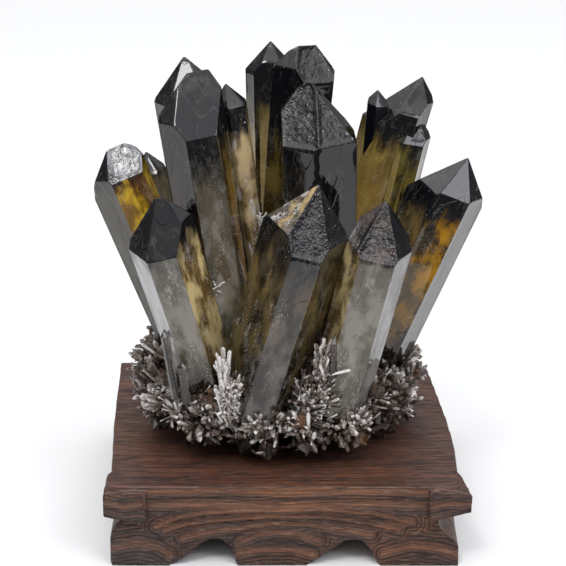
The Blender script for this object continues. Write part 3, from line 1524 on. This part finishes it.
@dataclass
class Studio:
    """Camera, pale floor and soft light.

    floor_reach, near_side and near_front are how far the floor and the part of it that shows in
    reflections go, in millimetres. ceiling and gloom are the room's brightness overhead and low
    down. It changes between the heights dusk and day, where 0 is eye level and 1 is overhead.
    aim is the point in the cluster that the lamps face.
    """

    floor_reach: float = 4000.0
    near_side: float = 520.0
    near_front: float = 230.0
    floor_height: float = -0.1
    paper: Triple = (0.90, 0.90, 0.90)
    ceiling: float = 1.22
    gloom: float = 0.12
    dusk: float = 0.25
    day: float = 0.80
    sky: Triple = (0.97, 0.98, 1.0)
    aim: Triple = (0.0, 0.0, 90.0)
    lamps: tuple[Lamp, ...] = (
        Lamp("key", (-223.0, -533.0, 1080.0), 260.0, 2.7),
        Lamp("window", (600.0, -580.0, 800.0), 430.0, 2.3, (0.93, 0.93, 1.0)),
        Lamp("top", (0.0, 100.0, 1100.0), 1200.0, 3.2),
    )

    def build(self) -> None:
        """Sets up everything around the object."""
        bpy.context.scene.view_settings.view_transform = "Standard"
        self._camera()
        self._floor()
        self._world()
        for lamp in self.lamps:
            self._hang(lamp)

    def _camera(self) -> None:
        """Places the camera of the photograph."""
        lens = bpy.data.cameras.new("photo_camera")
        lens.sensor_width = SENSOR
        lens.sensor_fit = "HORIZONTAL"
        lens.lens = SENSOR * FOCAL_PIXELS / PHOTO_PIXELS
        camera = bpy.data.objects.new("photo_camera", lens)
        camera.location = place(EYE)
        camera.rotation_euler = (math.pi / 2.0 - LOOK_DOWN, 0.0, 0.0)
        bpy.context.scene.collection.objects.link(camera)
        bpy.context.scene.camera = camera

    def _floor(self) -> None:
        """Lays the paper floor: the part around the object, and the rest, which stays out of its gloss."""
        g = Graph("studio_paper")
        paper = g.finish(g.principled({"Base Color": self.paper, "Roughness": 0.7}))
        far, side, front = self.floor_reach, self.near_side, self.near_front
        self._sheet("studio_floor", paper, [(-side, -front, side, side)])
        around = [
            (-far, side, far, far), (-far, -far, far, -front),
            (-far, -front, -side, side), (side, -front, far, side),
        ]
        self._sheet("studio_floor_far", paper, around).visible_glossy = False

    def _sheet(self, name: str, paper: bpy.types.Material, areas: Iterable[tuple]) -> bpy.types.Object:
        """Lays flat paper.

        Args:
            name: the sheet's name.
            paper: its material.
            areas: the left, front, right and back edges of each area, in millimetres.

        Returns:
            The sheet, which belongs to the stage.
        """
        bm = bmesh.new()
        for left, front, right, back in areas:
            corners = ((left, front), (right, front), (right, back), (left, back))
            bm.faces.new([bm.verts.new(place((x, y, self.floor_height))) for x, y in corners])
        sheet = new_piece(name, bm)
        sheet.data.materials.append(paper)
        return sheet

    def _world(self) -> None:
        """Lights the room from its pale ceiling and leaves it dim around eye level."""
        world = bpy.data.worlds.new("studio_room")
        world.use_nodes = True
        nodes, links = world.node_tree.nodes, world.node_tree.links
        where = nodes.new("ShaderNodeTexCoord")
        parts = nodes.new("ShaderNodeSeparateXYZ")
        links.new(where.outputs["Generated"], parts.inputs[0])
        rise = nodes.new("ShaderNodeMapRange")
        rise.interpolation_type = "SMOOTHSTEP"
        heights = {"From Min": self.dusk, "From Max": self.day, "To Min": self.gloom, "To Max": self.ceiling}
        for name, value in heights.items():
            rise.inputs[name].default_value = value
        links.new(parts.outputs["Z"], rise.inputs["Value"])
        background = nodes["Background"]
        background.inputs["Color"].default_value = (*self.sky, 1.0)
        links.new(rise.outputs[0], background.inputs["Strength"])
        bpy.context.scene.world = world

    def _hang(self, lamp: Lamp) -> None:
        """Hangs one lamp that faces the cluster.

        Args:
            lamp: its place, size, power and colour.
        """
        light = bpy.data.lights.new(lamp.name, "AREA")
        light.shape = "SQUARE"
        light.size = lamp.size * MM
        light.energy = lamp.power
        light.color = lamp.colour
        hung = bpy.data.objects.new(lamp.name, light)
        hung.location = place(lamp.spot)
        aim = place(self.aim) - hung.location
        hung.rotation_euler = aim.to_track_quat("-Z", "Y").to_euler()
        bpy.context.scene.collection.objects.link(hung)


def report(piece: bpy.types.Object) -> None:
    """Writes a piece's name, faces and corners, in metres, to the log."""
    spots = rows_of(piece.data.vertices, "co")
    low, high = spots.min(axis=0).round(5), spots.max(axis=0).round(5)
    LOG.info("%s: %d faces, from %s to %s", piece.name, len(piece.data.polygons), low, high)


def main() -> None:
    """Builds the studio, the crystals, the crust and the stand."""
    logging.basicConfig(level=logging.INFO, format="%(message)s")
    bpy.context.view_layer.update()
    Studio().build()
    quartz = QuartzFinish().material()
    for node, crystals in CRYSTALS.items():
        report(CrystalGroup(node, crystals).build(quartz))
    dress(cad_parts["quartz_crust"], CrustFinish().material("crust_quartz", False))
    small = CrustFinish().material("druse_quartz", True)
    report(Druse().build(small))
    report(LongCrystals().build(small))
    report(CarvedStand().build(WoodFinish().material()))


if __name__ == "__main__":
    main()
